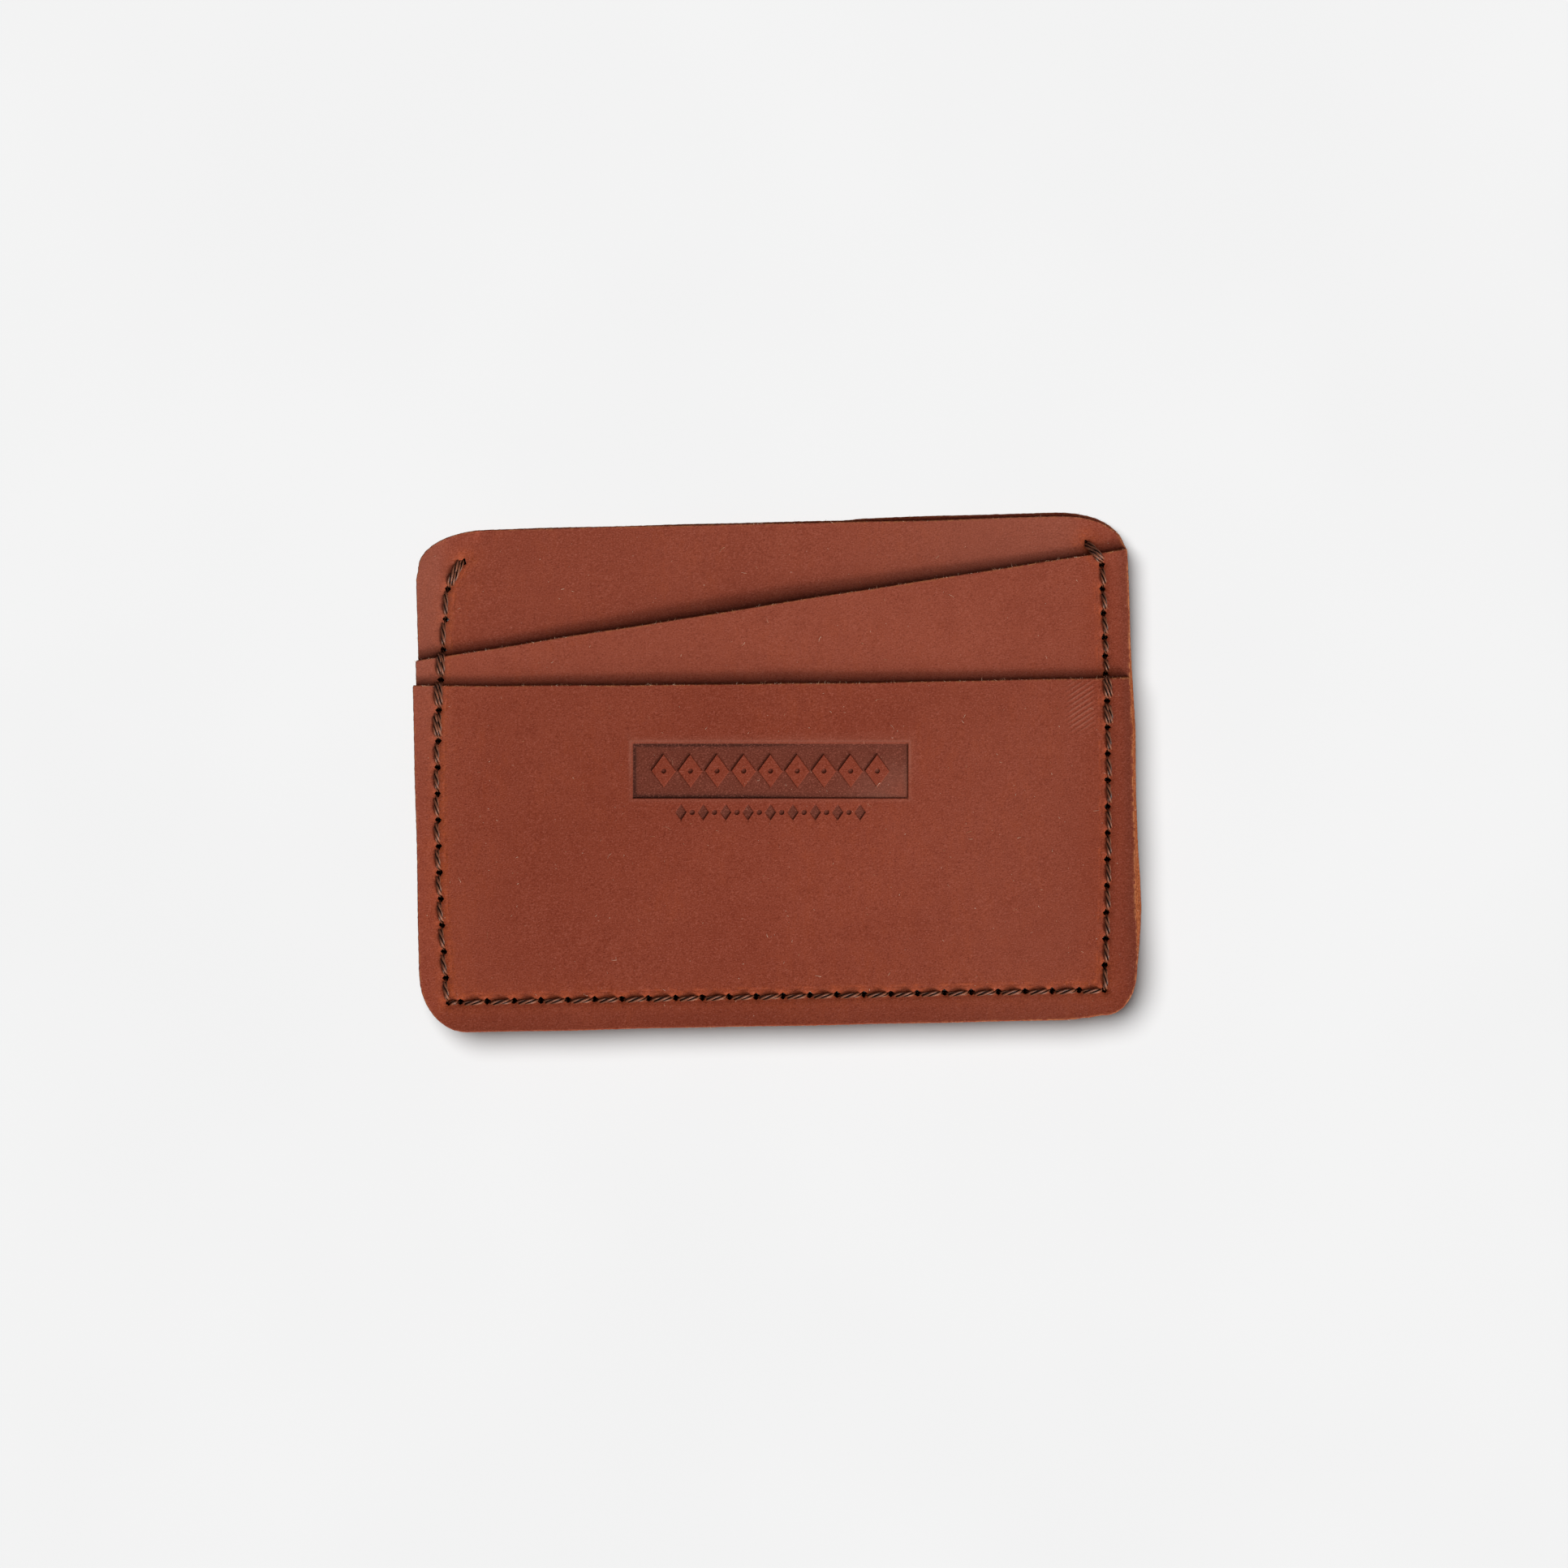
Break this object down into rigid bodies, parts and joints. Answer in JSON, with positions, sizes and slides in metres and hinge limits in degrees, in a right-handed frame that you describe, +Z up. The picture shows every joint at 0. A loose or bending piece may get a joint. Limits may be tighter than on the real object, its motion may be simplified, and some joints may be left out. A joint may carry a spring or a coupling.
{
  "type": "card holder",
  "caption": "Slim sewn leather card holder with a top pocket, a slant-mouthed pocket and a straight-mouthed front pocket.",
  "frame": {"origin": "centre of the footprint, on the surface that the holder lies on", "axes": "+X to the right along the long side, +Y towards the pocket mouths, +Z up out of the front face"},
  "size_m": [0.101, 0.071, 0.0068],
  "materials": {
    "panel_leather": "smooth matte pull-up leather, reddish brown",
    "pocket_leather": "smooth matte pull-up leather, reddish brown, a shade deeper",
    "thread": "twisted bonded thread, dark brown"
  },
  "bodies": {
    "root": {"back_panel": "panel_leather", "front_panel": "panel_leather", "diagonal_pocket": "pocket_leather", "front_pocket": "pocket_leather", "needle_thread": "thread", "bobbin_thread": "thread"}
  },
  "joints": []
}
